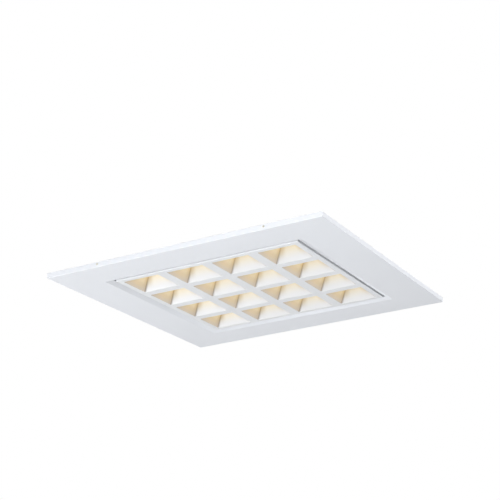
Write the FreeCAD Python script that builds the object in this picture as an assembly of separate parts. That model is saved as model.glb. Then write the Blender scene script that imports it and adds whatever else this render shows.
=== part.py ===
import FreeCAD, Part
import math
import os

from FreeCAD import Vector

# A recessed louvred troffer light for a 600 mm ceiling grid, in millimetres.
# The visible face lies in the plane z = 0 and looks down; +Z goes up into the ceiling.
# The origin is the centre of that face. The louvre hangs from a hinge on its -X edge.

# Folded steel
sheet = 0.8                  # wall of every folded steel piece
bend_radius = 1.0            # outside radius of the folds that show
seat_fit = 0.1               # side clearance of a shank or a sheet in its hole or groove

# Bezel
panel_side = 595.0
rim_height = 10.5
bezel_opening = 430.0
collar_height = 15.0
gusset_arm = 60.0
gusset_width = 25.0
gusset_thickness = 1.0

# Louvre insert
louvre_side = 402.0
louvre_rise = 2.0            # the louvre face stands this far above the bezel face
skirt_height = 9.5
cells_per_side = 4
cell_pitch = 100.0
cell_side = 80.0

# Reflector cups
cup_depth = 27.0
cup_window = 32.0
cup_wall = 1.4               # wall of a cup, measured level
cup_lip = 3.0
cup_lip_thickness = 1.2

# Rear pan and the seat inside it
pan_top = 40.0
pan_flange = 12.0
stud_radius = 1.5
stud_height = 6.0
stud_offset = 120.0
nut_height = 2.4
nut_across = 5.5
seat_opening = 376.0
seat_wall_height = 12.0
rivet_radius = 1.6
rivet_head_radius = 3.0
rivet_head_height = 1.2
rivet_offset = 100.0

# Diffuser and its rails
rail_thickness = 1.0
rail_offset = 205.0          # outer face of a rail's web from the middle
rail_length = 410.0
rail_foot = 15.0
rail_lip = 8.0
diffuser_gap = 0.7           # between the cups and the diffuser
diffuser_thickness = 2.0
diffuser_end_gap = 2.0
rail_play = 0.1

# Light boards
board_length = 400.0
board_width = 30.0
board_thickness = 1.6
chip_spread = 12.0           # centre distance of the four chips over a cell
chip_length = 3.5
chip_width = 2.8
chip_height = 0.8
screw_radius = 1.4
screw_head_radius = 2.7
screw_head_height = 1.6
board_screw_pitch = 100.0
connector_place = 187.0
connector_side = 10.0
connector_height = 4.2
jumper_radius = 1.1
jumper_bow = 8.0

# Louvre hinge and magnetic catches
hinge_spread = 240.0         # between the two hinges, and between the two catches
hinge_inset = 4.0            # hinge axis from the outer face of the skirt
hinge_rise = 5.0             # hinge axis above the louvre face
hinge_pin_radius = 1.5
running_fit = 0.08
hinge_lug_radius = 3.0
bracket_thickness = 3.0
bracket_foot_width = 16.0
bracket_foot_reach = 12.0
bracket_foot_thickness = 1.2
louvre_ear_thickness = 1.2
side_gap = 0.4
notch_clearance = 1.0
magnet_width = 24.0
strike_thickness = 1.2
catch_gap = 0.4

# Gear box on top of the pan
gear_box_length = 240.0
gear_box_width = 120.0
gear_box_height = 28.0
lid_gap = 0.3
knuckle_radius = 2.2
knuckle_length = 24.0
knuckle_gap = 0.4
lid_pin_radius = 1.0
lid_flange = 12.0
lid_screw_radius = 1.5
lid_screw_length = 6.0
lid_screw_head_radius = 3.5
lid_screw_head_height = 1.6
lid_screw_hole_radius = 2.4
box_screw_inset = 10.0       # from the ends of the gear box
box_screw_side_inset = 24.0  # from its sides

# Driver
driver_length = 126.0
driver_width = 42.0
driver_height = 22.0
driver_cap_length = 12.0
driver_end_room = 22.0       # from the end of the gear box to the driver's end cap
driver_side_room = 13.0      # from the side of the gear box to the driver
driver_groove = 1.2
driver_groove_pitch = 7.0

# Mains terminal block with its levers
terminal_end_room = 35.0     # from the end of the gear box to the middle of the block
terminal_side_room = 35.0    # from its side to the middle of the block
terminal_depth = 20.0
terminal_height = 13.0
terminal_poles = 3
lever_width = 6.2
lever_side_gap = 0.35
pole_wall = 1.6
lever_reach = 13.0
lever_thickness = 2.4
lever_boss_radius = 2.0
lever_pivot_inset = 4.0      # pivot from the back face of the block
lever_pivot_drop = 2.8       # pivot below the top of the block
trunnion_radius = 1.0
trunnion_length = 0.6
lever_gap = 0.5
wire_port_radius = 1.7

# Inlet, earth and leads
inlet_rise = 11.2
gland_bore_radius = 4.5
gland_thread_radius = 6.0
gland_across = 16.0
gland_length = 12.0
gland_thread_length = 8.0
gland_nut_height = 3.0
earth_room = 11.5            # from the terminal block to the middle of the earth stud
earth_radius = 2.0
earth_height = 10.0
wire_radius = 0.9
output_radius = 1.4
output_bend_radius = 2.8     # the bends of the output lead, which has little room
wire_bend_radius = 15.0
grommet_run = 10.0           # from the driver's end to the middle of the grommet
grommet_flange = 1.5
grommet_flange_thickness = 0.9

# Tie-wire tabs in the rim
tab_corner_room = 117.5      # from the corner of the panel to a tab's pivot
tab_height = 6.0             # pivot height
tab_half_width = 4.0
tab_length = 34.0
tab_thickness = 1.2
tab_gap = 0.3
tab_foot = 9.0               # how far the foot with the wire hole stands in from the tab
tab_wire_radius = 2.0
eyelet_radius = 1.7
eyelet_bore_radius = 1.0
eyelet_head_radius = 2.4
eyelet_head_height = 0.4

# Suspension lugs
lug_inset = 36.6             # middle of a lug's foot from the sides of the pan
lug_width = 16.0
lug_height = 12.0
lug_thickness = 1.5
lug_foot = 14.0
lug_hole_radius = 2.25
lug_hole_height = 7.0

# Places worked out from the sizes above
panel_half = panel_side / 2
opening_half = bezel_opening / 2
collar_half = opening_half + sheet
pan_half = collar_half + sheet
louvre_half = louvre_side / 2
louvre_back = louvre_rise + sheet
skirt_top = louvre_rise + skirt_height
cup_top = louvre_back + cup_depth
seat_top = collar_height + sheet
pan_ceiling = pan_top - sheet
board_under = pan_ceiling - board_thickness
diffuser_low = cup_top + diffuser_gap
diffuser_high = diffuser_low + diffuser_thickness
hinge_x = -louvre_half + hinge_inset
hinge_z = louvre_rise + hinge_rise
gear_floor = pan_top + sheet
gear_top = pan_top + gear_box_height
lid_low = gear_top + lid_gap
lid_high = lid_low + sheet
gear_half_x = gear_box_length / 2
gear_half_y = gear_box_width / 2
knuckle_y = gear_half_y + lid_gap + knuckle_radius
knuckle_z = lid_high - knuckle_radius
lid_screw_y = -gear_half_y + lid_flange / 2
output_x = gear_half_x - driver_end_room
driver_middle_x = output_x - driver_cap_length - driver_length / 2
driver_near_y = gear_half_y - driver_side_room - driver_width
driver_middle_y = driver_near_y + driver_width / 2
grommet_x = output_x + grommet_run
lead_height = gear_floor + driver_height / 2
terminal_top = gear_floor + terminal_height
pole_pitch = lever_width + 2 * lever_side_gap + pole_wall
terminal_width = terminal_poles * pole_pitch + pole_wall
terminal_middle_x = -gear_half_x + terminal_end_room
terminal_middle_y = -gear_half_y + terminal_side_room
lever_pivot_y = terminal_middle_y + terminal_depth / 2 - lever_pivot_inset
lever_pivot_z = terminal_top - lever_pivot_drop
inlet_y = terminal_middle_y
inlet_z = gear_floor + inlet_rise
earth_x = terminal_middle_x + terminal_width / 2 + earth_room
earth_y = (terminal_middle_y + terminal_depth / 2 + driver_near_y) / 2
tab_offset = panel_half - tab_corner_room
lug_offset = pan_half - lug_inset

THROUGH = 1.0                # a cutting tool reaches this far past what it cuts
TOUCH = 1e-6                 # two places nearer than this are one


def about(middle, width):
    """The two ends of a width centred on a value."""
    return (middle - width / 2, middle + width / 2)


def box(x, y, z):
    """A block between two values on each axis."""
    return Part.makeBox(x[1] - x[0], y[1] - y[0], z[1] - z[0], Vector(x[0], y[0], z[0]))


def slab(half, low, high):
    """A square block centred on the Z axis."""
    return box((-half, half), (-half, half), (low, high))


def ring(outer, inner, low, high):
    """A square ring centred on the Z axis."""
    return slab(outer, low, high).cut(slab(inner, low - THROUGH, high + THROUGH))


def rod(radius, start, end):
    """A round bar between two points."""
    return Part.makeCylinder(radius, (end - start).Length, start, end - start)


def upright(radius, x, y, low, high):
    """A round bar that stands along Z."""
    return rod(radius, Vector(x, y, low), Vector(x, y, high))


def hexagon(across, x, y, low, high):
    """A hexagonal block that stands along Z, given its width across flats."""
    corner = across / math.sqrt(3)
    turns = [math.radians(60 * step) for step in range(7)]
    points = [Vector(x + corner * math.cos(t), y + corner * math.sin(t), low) for t in turns]
    return Part.Face(Part.makePolygon(points)).extrude(Vector(0, 0, high - low))


def square_outline(half, height):
    """The closed outline of a level square centred on the Z axis."""
    corners = [Vector(-half, -half, height), Vector(half, -half, height),
               Vector(half, half, height), Vector(-half, half, height)]
    return Part.makePolygon(corners + corners[:1])


def frustum(low_half, high_half, low, high):
    """A square block whose sides lean from one half width to another."""
    outlines = [square_outline(low_half, low), square_outline(high_half, high)]
    return Part.makeLoft(outlines, True, True)


def all_of(solids):
    """Separate solids kept together as one group."""
    return Part.makeCompound(solids)


def join(solids):
    """Solids that touch or overlap, joined into one."""
    return solids[0].multiFuse(solids[1:]).removeSplitter()


def bottom_edges(shape, half, height):
    """The level edges of a shape that run round a square at one height."""
    def on_square(point):
        reach = max(abs(point.x), abs(point.y))
        return abs(point.z - height) < TOUCH and abs(reach - half) < TOUCH
    return [edge for edge in shape.Edges if all(on_square(v.Point) for v in edge.Vertexes)]


def corner_edges(shape, half):
    """The upright edges of a shape at the corners of a square."""
    def on_corner(point):
        return abs(abs(point.x) - half) < TOUCH and abs(abs(point.y) - half) < TOUCH
    return [edge for edge in shape.Edges if all(on_corner(v.Point) for v in edge.Vertexes)]


def folded_tray(half, low, high):
    """A square tray of folded sheet, open at the top, with rounded outside folds."""
    block = slab(half, low, high)
    folds = bottom_edges(block, half, low) + corner_edges(block, half)
    block = block.makeFillet(bend_radius, folds)
    return block.cut(slab(half - sheet, low + sheet, high + THROUGH))


def wire_path(points, bend_radius_wanted):
    """Straight runs joined by tangent arcs, each of the wanted radius where its runs allow."""
    edges = []
    start = points[0]
    for before, corner, after in zip(points, points[1:], points[2:]):
        back = (before - corner).normalize()
        onward = (after - corner).normalize()
        half_angle = back.getAngle(onward) / 2
        room = 0.45 * min((before - corner).Length, (after - corner).Length)
        radius = min(bend_radius_wanted, room * math.tan(half_angle))
        tangent = radius / math.tan(half_angle)
        centre = corner + (back + onward).normalize() * (radius / math.sin(half_angle))
        middle = centre + (corner - centre).normalize() * radius
        first = corner + back * tangent
        last = corner + onward * tangent
        edges.append(Part.LineSegment(start, first).toShape())
        edges.append(Part.Arc(first, middle, last).toShape())
        start = last
    edges.append(Part.LineSegment(start, points[-1]).toShape())
    return Part.Wire(edges)


def lead(points, radius, bend_radius_wanted):
    """A round lead along a route."""
    path = wire_path(points, bend_radius_wanted)
    profile = Part.Wire(Part.makeCircle(radius, points[0], points[1] - points[0]))
    return path.makePipeShell([profile], True, False)


def cell_middles():
    """The middles of the cells along one side."""
    first = -cell_pitch * (cells_per_side - 1) / 2
    return [first + cell_pitch * step for step in range(cells_per_side)]


def four_sides(solid):
    """A solid and its three copies turned by quarters about the Z axis."""
    return [solid.rotated(Vector(), Vector(0, 0, 1), 90 * turn) for turn in range(4)]


def tab_places():
    """Each tab's pivot X, its side in Y (-1 or 1), and the way it lies (-1 or 1 along X)."""
    return [(x, side, -1 if x > 0 else 1)
            for side in (-1, 1) for x in (-tab_offset, tab_offset)]


def bezel_frame():
    """The folded outer frame: level face, upturned rim, and a collar round the opening."""
    face = folded_tray(panel_half, 0, rim_height)
    face = face.cut(slab(opening_half, -THROUGH, sheet + THROUGH))
    frame = face.fuse(ring(collar_half, opening_half, 0, collar_height)).removeSplitter()
    frame = frame.makeFillet(bend_radius, bottom_edges(frame, opening_half, 0))
    for x, side, _ in tab_places():
        start = Vector(x, side * (panel_half - sheet - THROUGH), tab_height)
        end = Vector(x, side * (panel_half + THROUGH), tab_height)
        frame = frame.cut(rod(eyelet_radius + seat_fit, start, end))
    return frame


def corner_gussets():
    """Four flat angles that brace the mitred corners behind the face."""
    outer = panel_half - sheet - seat_fit
    reach = (outer - gusset_arm, outer)
    level = (sheet, sheet + gusset_thickness)
    along_x = box(reach, (outer - gusset_width, outer), level)
    along_y = box((outer - gusset_width, outer), reach, level)
    return all_of(four_sides(join([along_x, along_y])))


def stud_places():
    """Where the studs stand on the back of the bezel, on the middle line of the pan's flange."""
    line = pan_half + pan_flange / 2
    along = [(line, offset) for offset in (-stud_offset, stud_offset)]
    turned = [(-offset, line) for _, offset in along]
    return along + turned + [(-x, -y) for x, y in along + turned]


def frame_studs():
    """Eight weld studs that hold the pan to the bezel."""
    return all_of([upright(stud_radius, x, y, sheet, sheet + stud_height)
                   for x, y in stud_places()])


def frame_nuts():
    """The nuts on the studs."""
    low = 2 * sheet
    nuts = []
    for x, y in stud_places():
        nut = hexagon(nut_across, x, y, low, low + nut_height)
        bore = upright(stud_radius + seat_fit, x, y, low - THROUGH, low + nut_height + THROUGH)
        nuts.append(nut.cut(bore))
    return all_of(nuts)


def rivet_lines():
    """Start and direction of each rivet that joins the seat to the pan, on one side."""
    height = seat_top + seat_wall_height / 2
    return [Vector(collar_half - sheet, offset, height) for offset in (-rivet_offset, rivet_offset)]


def board_screw_places():
    """Where the screws hold the light boards."""
    return [(board_screw_pitch * step, y) for step in (-1, 0, 1) for y in cell_middles()]


def rear_housing():
    """The pan behind the louvre, with a flange on the back of the bezel."""
    pan = slab(pan_half, sheet, pan_top).cut(slab(collar_half, sheet - THROUGH, pan_ceiling))
    flange = ring(pan_half + pan_flange, collar_half, sheet, 2 * sheet)
    pan = pan.fuse(flange).removeSplitter()
    holes = [upright(stud_radius + seat_fit, x, y, 0, 2 * sheet + THROUGH)
             for x, y in stud_places()]
    holes += [upright(screw_radius + seat_fit, x, y, pan_ceiling - THROUGH, pan_top + THROUGH)
              for x, y in board_screw_places()]
    holes += [upright(screw_radius + seat_fit, x, y, pan_ceiling - THROUGH, pan_top + THROUGH)
              for x, y in box_screw_places()]
    holes.append(upright(grommet_radius(), grommet_x, driver_middle_y,
                         pan_ceiling - THROUGH, pan_top + THROUGH))
    for start in rivet_lines():
        end = start + Vector(3 * sheet, 0, 0)
        holes += four_sides(rod(rivet_radius + seat_fit, start, end))
    return pan.cut(holes)


def seat_frame():
    """The ring on top of the collar that carries the hinges, the catches and the rails."""
    floor = ring(collar_half, seat_opening / 2, collar_height, seat_top)
    wall = ring(collar_half, collar_half - sheet, collar_height, seat_top + seat_wall_height)
    seat = join([floor, wall])
    for start in rivet_lines():
        end = start + Vector(3 * sheet, 0, 0)
        hole = rod(rivet_radius + seat_fit, start - Vector(THROUGH, 0, 0), end)
        seat = seat.cut(four_sides(hole))
    return seat


def seat_rivets():
    """Eight rivets through the pan and the wall of the seat."""
    rivets = []
    for start in rivet_lines():
        outside = start + Vector(pan_half - collar_half + sheet, 0, 0)
        shank = rod(rivet_radius, start, outside)
        head = rod(rivet_head_radius, outside, outside + Vector(rivet_head_height, 0, 0))
        rivets += four_sides(join([shank, head]))
    return all_of(rivets)


def diffuser_rails():
    """Two folded rails on the seat that hold the diffuser by its edges."""
    length = about(0, rail_length)
    web = (rail_offset - rail_thickness, rail_offset)
    lip = (rail_offset - rail_lip, rail_offset)
    shelf = diffuser_low - rail_play
    cover = diffuser_high + rail_play
    rail = join([
        box(length, (rail_offset - rail_foot, rail_offset), (seat_top, seat_top + rail_thickness)),
        box(length, web, (seat_top, cover + rail_thickness)),
        box(length, lip, (shelf - rail_thickness, shelf)),
        box(length, lip, (cover, cover + rail_thickness)),
    ])
    return all_of([rail, rail.rotated(Vector(), Vector(0, 0, 1), 180)])


def diffuser_sheet():
    """The opal sheet between the light boards and the cups."""
    half_x = collar_half - diffuser_end_gap
    half_y = rail_offset - rail_thickness - rail_play
    return box((-half_x, half_x), (-half_y, half_y), (diffuser_low, diffuser_high))


def led_board(y):
    """One light board, under the top of the pan, over one row of cells."""
    board = box(about(0, board_length), about(y, board_width), (board_under, pan_ceiling))
    holes = [upright(screw_radius + seat_fit, x, row, board_under - THROUGH, pan_ceiling + THROUGH)
             for x, row in board_screw_places() if row == y]
    return board.cut(holes)


def led_chips():
    """Four light-emitting chips over each cell."""
    chips = []
    for x in cell_middles():
        for y in cell_middles():
            for chip_x in about(x, chip_spread):
                for chip_y in about(y, chip_spread):
                    chips.append(box(about(chip_x, chip_length), about(chip_y, chip_width),
                                     (board_under - chip_height, board_under)))
    return all_of(chips)


def screw_with_head(x, y, low, seat, tip, radius):
    """A pan-head screw that stands along Z, its head between low and seat."""
    head = upright(screw_head_radius, x, y, min(low, seat), max(low, seat))
    shank = upright(radius, x, y, min(seat, tip), max(seat, tip))
    return join([head, shank])


def board_screws():
    """The screws that hold the light boards to the pan."""
    return all_of([screw_with_head(x, y, board_under - screw_head_height, board_under,
                                   pan_top - seat_fit, screw_radius)
                   for x, y in board_screw_places()])


def board_connectors():
    """One plug-in connector at the end of each light board."""
    return all_of([box(about(connector_place, connector_side), about(y, connector_side),
                       (board_under - connector_height, board_under))
                   for y in cell_middles()])


def jumper_height():
    """The height of the leads between the connectors."""
    return board_under - connector_height / 2


def board_jumpers():
    """Short leads from each light board to the next."""
    leads = []
    rows = cell_middles()
    for start_y, end_y in zip(rows, rows[1:]):
        near = start_y + connector_side / 2
        far = end_y - connector_side / 2
        step = (far - near) / 4
        height = jumper_height()
        bowed = connector_place + jumper_bow
        route = [Vector(connector_place, near, height),
                 Vector(connector_place, near + step / 2, height),
                 Vector(bowed, near + 3 * step / 2, height),
                 Vector(bowed, far - 3 * step / 2, height),
                 Vector(connector_place, far - step / 2, height),
                 Vector(connector_place, far, height)]
        leads.append(lead(route, jumper_radius, wire_bend_radius))
    return all_of(leads)


def grommet_radius():
    """The neck of the grommet, which sits in the holes of the pan and the gear box."""
    return output_radius + seat_fit + grommet_flange


def lead_grommet():
    """The grommet that takes the output lead through the gear box floor and the pan."""
    low = pan_ceiling
    neck = upright(grommet_radius() - seat_fit, grommet_x, driver_middle_y, low, gear_floor)
    collar = grommet_radius() + grommet_flange
    under = upright(collar, grommet_x, driver_middle_y, low - grommet_flange_thickness, low)
    over = upright(collar, grommet_x, driver_middle_y,
                   gear_floor, gear_floor + grommet_flange_thickness)
    bore = upright(output_radius + seat_fit, grommet_x, driver_middle_y,
                   low - 2 * THROUGH, gear_floor + 2 * THROUGH)
    return join([neck, under, over]).cut(bore)


def output_lead():
    """The lead from the driver down through the grommet to a light board's connector."""
    row = cell_middles()[cells_per_side // 2]
    end_x = connector_place - connector_side / 2
    height = jumper_height()
    turn_x = end_x - 2 * connector_side
    return lead([Vector(output_x, driver_middle_y, lead_height),
                 Vector(grommet_x, driver_middle_y, lead_height),
                 Vector(grommet_x, driver_middle_y, height),
                 Vector(turn_x, driver_middle_y, height),
                 Vector(turn_x + connector_side / 2, row, height),
                 Vector(end_x, row, height)], output_radius, output_bend_radius)


def hinge_middles():
    """Where the hinges and the catches stand along Y."""
    return about(0, hinge_spread)


def hinge_brackets():
    """Two hanging brackets under the seat that carry the louvre's hinge pins."""
    brackets = []
    for y in hinge_middles():
        side = (hinge_x - hinge_lug_radius, hinge_x + hinge_lug_radius)
        ear = about(y, bracket_thickness)
        start = Vector(hinge_x, ear[0], hinge_z)
        end = Vector(hinge_x, ear[1], hinge_z)
        foot = box((side[0], side[0] + bracket_foot_reach), about(y, bracket_foot_width),
                   (collar_height - bracket_foot_thickness, collar_height))
        stem = box(side, ear, (hinge_z, collar_height))
        eye = rod(hinge_lug_radius, start, end)
        through = Vector(0, THROUGH, 0)
        hole = rod(hinge_pin_radius + running_fit, start - through, end + through)
        brackets.append(join([foot, stem, eye]).cut(hole))
    return all_of(brackets)


def louvre_ear(y):
    """One ear on the back of the louvre face, with a hole for the hinge pin."""
    side = (hinge_x - hinge_lug_radius, hinge_x + hinge_lug_radius)
    thick = about(y, louvre_ear_thickness)
    eye = rod(hinge_lug_radius, Vector(hinge_x, thick[0], hinge_z),
              Vector(hinge_x, thick[1], hinge_z))
    return join([box(side, thick, (louvre_back, hinge_z)), eye])


def ear_offset():
    """From the middle of a hinge to the middle of each of its two louvre ears."""
    return (bracket_thickness + louvre_ear_thickness) / 2 + side_gap


def louvre_face():
    """The square louvre plate: sixteen windows, a skirt, and the ears of its hinges."""
    plate = folded_tray(louvre_half, louvre_rise, skirt_top)
    through = (louvre_rise - THROUGH, louvre_back + THROUGH)
    cuts = [box(about(x, cell_side), about(y, cell_side), through)
            for x in cell_middles() for y in cell_middles()]
    notch_width = bracket_foot_width + 2 * notch_clearance
    cuts += [box((-louvre_half - THROUGH, -louvre_half + sheet), about(y, notch_width),
                 (louvre_rise + bend_radius, skirt_top + THROUGH)) for y in hinge_middles()]
    plate = plate.cut(cuts)
    ears = [louvre_ear(y + side * ear_offset()) for y in hinge_middles() for side in (-1, 1)]
    plate = join([plate] + ears)
    bores = [rod(hinge_pin_radius + running_fit / 4,
                 Vector(hinge_x, y - notch_width / 2, hinge_z),
                 Vector(hinge_x, y + notch_width / 2, hinge_z)) for y in hinge_middles()]
    return plate.cut(bores)


def hinge_pins():
    """The two pins that the louvre turns on."""
    reach = ear_offset() + louvre_ear_thickness
    return all_of([rod(hinge_pin_radius, Vector(hinge_x, y - reach, hinge_z),
                       Vector(hinge_x, y + reach, hinge_z)) for y in hinge_middles()])


def catch_side():
    """The strip inside the skirt, opposite the hinge, that holds the catches."""
    cup_edge = cell_middles()[-1] + cell_side / 2 + cup_lip
    return (cup_edge + catch_gap, louvre_half - sheet - catch_gap)


def magnet_catches():
    """Two magnets in their holders, under the seat."""
    low = louvre_back + strike_thickness + catch_gap
    return all_of([box(catch_side(), about(y, magnet_width), (low, collar_height))
                   for y in hinge_middles()])


def strike_plates():
    """Two steel strips on the back of the louvre face that the magnets hold."""
    return all_of([box(catch_side(), about(y, magnet_width),
                       (louvre_back, louvre_back + strike_thickness)) for y in hinge_middles()])


def reflector_cup(x, y):
    """One reflector cup: four leaning walls from the cell's edge to a small window."""
    mouth = cell_side / 2
    window = cup_window / 2
    lean = (mouth - window) / cup_depth
    walls = frustum(mouth + cup_wall, window + cup_wall, 0, cup_depth)
    lip = slab(mouth + cup_lip, 0, cup_lip_thickness)
    inside = frustum(mouth + lean * THROUGH, window - lean * THROUGH,
                     -THROUGH, cup_depth + THROUGH)
    cup = join([walls, lip]).cut(inside)
    cup.translate(Vector(x, y, louvre_back))
    return cup


def box_screw_places():
    """Where the gear box is screwed to the pan."""
    far_x = gear_half_x - box_screw_inset
    far_y = gear_half_y - box_screw_side_inset
    return [(x, y) for x in (-far_x, far_x) for y in (-far_y, far_y)]


def knuckle(x_start, x_end, bore):
    """A hinge knuckle of the gear box lid, along X."""
    start = Vector(x_start, knuckle_y, knuckle_z)
    end = Vector(x_end, knuckle_y, knuckle_z)
    through = Vector(THROUGH, 0, 0)
    return rod(knuckle_radius, start, end), rod(bore, start - through, end + through)


def gear_box():
    """The folded box for the driver and the terminals, open at the top."""
    outside = box((-gear_half_x, gear_half_x), (-gear_half_y, gear_half_y), (pan_top, gear_top))
    inside = box((-gear_half_x + sheet, gear_half_x - sheet),
                 (-gear_half_y + sheet, gear_half_y - sheet), (gear_floor, gear_top + THROUGH))
    flange = box(about(0, 2 * lid_flange), (-gear_half_y, -gear_half_y + lid_flange),
                 (gear_top - sheet, gear_top))
    parts = [outside.cut(inside), flange]
    bores = []
    for side in (-1, 1):
        near = side * (knuckle_length / 2 + knuckle_gap)
        far = side * (3 * knuckle_length / 2)
        barrel, bore = knuckle(min(near, far), max(near, far), lid_pin_radius + running_fit / 4)
        web = box((min(near, far), max(near, far)), (gear_half_y - sheet, knuckle_y),
                  (knuckle_z - knuckle_radius, knuckle_z))
        parts += [barrel, web]
        bores.append(bore)
    bores += [upright(screw_radius + seat_fit, x, y, pan_top - THROUGH, gear_floor + THROUGH)
              for x, y in box_screw_places()]
    bores.append(upright(grommet_radius(), grommet_x, driver_middle_y,
                         pan_top - THROUGH, gear_floor + THROUGH))
    bores.append(upright(lid_screw_hole_radius, 0, lid_screw_y,
                         gear_top - sheet - THROUGH, gear_top + THROUGH))
    bores.append(rod(gland_thread_radius + seat_fit, Vector(-gear_half_x - THROUGH, inlet_y, inlet_z),
                     Vector(-gear_half_x + sheet + THROUGH, inlet_y, inlet_z)))
    return join(parts).cut(bores)


def gear_box_screws():
    """Four screws that hold the gear box to the pan."""
    return all_of([screw_with_head(x, y, gear_floor + screw_head_height, gear_floor,
                                   pan_ceiling + seat_fit, screw_radius)
                   for x, y in box_screw_places()])


def gear_box_lid():
    """The hinged lid of the gear box."""
    plate = box((-gear_half_x, gear_half_x), (-gear_half_y, gear_half_y - seat_fit),
                (lid_low, lid_high))
    leaf = box(about(0, knuckle_length), (gear_half_y - THROUGH, knuckle_y), (lid_low, lid_high))
    barrel, bore = knuckle(-knuckle_length / 2, knuckle_length / 2, lid_pin_radius + running_fit)
    hole = upright(lid_screw_radius + seat_fit, 0, lid_screw_y, lid_low - THROUGH,
                   lid_high + THROUGH)
    return join([plate, leaf, barrel]).cut([bore, hole])


def lid_hinge_pin():
    """The pin that the lid turns on, held in the knuckles of the gear box."""
    reach = 3 * knuckle_length / 2
    return rod(lid_pin_radius, Vector(-reach, knuckle_y, knuckle_z),
               Vector(reach, knuckle_y, knuckle_z))


def lid_screw():
    """The captive screw at the free edge of the lid."""
    head = upright(lid_screw_head_radius, 0, lid_screw_y, lid_high,
                   lid_high + lid_screw_head_height)
    shank = upright(lid_screw_radius, 0, lid_screw_y, lid_low - lid_screw_length, lid_high)
    slot = box(about(0, 2 * lid_screw_head_radius + THROUGH), about(lid_screw_y, sheet),
               (lid_high + lid_screw_head_height / 2, lid_high + lid_screw_head_height + THROUGH))
    return join([head, shank]).cut(slot)


def driver_case():
    """The extruded body of the driver, grooved along its top."""
    top = gear_floor + driver_height
    body = box(about(driver_middle_x, driver_length), about(driver_middle_y, driver_width),
               (gear_floor, top))
    count = int((driver_width / 2 - driver_groove_pitch / 2) // driver_groove_pitch)
    grooves = [box(about(driver_middle_x, driver_length + THROUGH),
                   about(driver_middle_y + step * driver_groove_pitch, driver_groove),
                   (top - driver_groove, top + THROUGH)) for step in range(-count, count + 1)]
    return body.cut(grooves)


def driver_end_caps():
    """The two end caps of the driver, with the ports for its leads."""
    caps = []
    for side in (-1, 1):
        near = driver_middle_x + side * driver_length / 2
        far = near + side * driver_cap_length
        cap = box((min(near, far), max(near, far)), about(driver_middle_y, driver_width),
                  (gear_floor, gear_floor + driver_height))
        caps.append(cap)
    return all_of(caps)


def pole_middles():
    """The middle of each pole of the terminal block along X."""
    first = terminal_middle_x - pole_pitch * (terminal_poles - 1) / 2
    return [first + pole_pitch * step for step in range(terminal_poles)]


def trunnion(x, radius, length):
    """The round ends of a lever's pivot, across its slot."""
    reach = lever_width / 2 + length
    return rod(radius, Vector(x - reach, lever_pivot_y, lever_pivot_z),
               Vector(x + reach, lever_pivot_y, lever_pivot_z))


def terminal_block():
    """The mains terminal block: a slot with a pivot for each lever, and the wire ports."""
    depth = about(terminal_middle_y, terminal_depth)
    block = box(about(terminal_middle_x, terminal_width), depth, (gear_floor, terminal_top))
    slot_width = lever_width + 2 * lever_side_gap
    slot_floor = lever_pivot_z - lever_boss_radius - lever_gap
    slot_end = lever_pivot_y + lever_boss_radius + lever_gap
    port_height = gear_floor + terminal_height / 3
    cuts = []
    for x in pole_middles():
        cuts.append(box(about(x, slot_width), (depth[0] - THROUGH, slot_end),
                        (slot_floor, terminal_top + THROUGH)))
        cuts.append(trunnion(x, trunnion_radius + running_fit,
                             lever_side_gap + trunnion_length + running_fit))
        cuts.append(rod(wire_port_radius, Vector(x, depth[0] - THROUGH, port_height),
                        Vector(x, depth[0] + terminal_depth / 3, port_height)))
    return block.cut(cuts)


def terminal_lever(x):
    """One lever of the terminal block, lying flat in its slot."""
    across = about(x, lever_width)
    boss = rod(lever_boss_radius, Vector(across[0], lever_pivot_y, lever_pivot_z),
               Vector(across[1], lever_pivot_y, lever_pivot_z))
    low = lever_pivot_z - lever_thickness / 3
    arm = box(across, (lever_pivot_y - lever_reach, lever_pivot_y), (low, low + lever_thickness))
    return join([boss, arm, trunnion(x, trunnion_radius, lever_side_gap + trunnion_length)])


def hexagon_along_x(across, x, y, z, length):
    """A hexagonal block that lies along X, starting at x."""
    block = hexagon(across, 0, 0, 0, length)
    block.rotate(Vector(), Vector(0, 1, 0), 90)
    block.translate(Vector(x, y, z))
    return block


def inlet_gland():
    """The gland in the wall of the gear box for the mains cable, and its locknut."""
    outside = -gear_half_x
    inside = outside + sheet
    bore = rod(gland_bore_radius, Vector(outside - gland_length - THROUGH, inlet_y, inlet_z),
               Vector(outside + gland_thread_length + THROUGH, inlet_y, inlet_z))
    body = hexagon_along_x(gland_across, outside - gland_length, inlet_y, inlet_z, gland_length)
    thread = rod(gland_thread_radius, Vector(outside, inlet_y, inlet_z),
                 Vector(outside + gland_thread_length, inlet_y, inlet_z))
    nut = hexagon_along_x(gland_across, inside, inlet_y, inlet_z, gland_nut_height)
    nut_bore = rod(gland_thread_radius + seat_fit, Vector(inside - THROUGH, inlet_y, inlet_z),
                   Vector(inside + gland_nut_height + THROUGH, inlet_y, inlet_z))
    return all_of([join([body, thread]).cut(bore), nut.cut(nut_bore)])


def earth_post():
    """The earth stud on the floor of the gear box, with its nut."""
    stud = upright(earth_radius, earth_x, earth_y, gear_floor, gear_floor + earth_height)
    seat = upright(2 * earth_radius, earth_x, earth_y, gear_floor, gear_floor + sheet)
    low = earth_wire_height() + wire_radius + seat_fit
    nut = hexagon(4 * earth_radius, earth_x, earth_y, low, low + nut_height)
    bore = upright(earth_radius + seat_fit, earth_x, earth_y, low - THROUGH,
                   low + nut_height + THROUGH)
    return all_of([join([stud, seat]), nut.cut(bore)])


def earth_wire_height():
    """The height at which the leads leave the terminal block."""
    return gear_floor + terminal_height / 3


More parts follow.
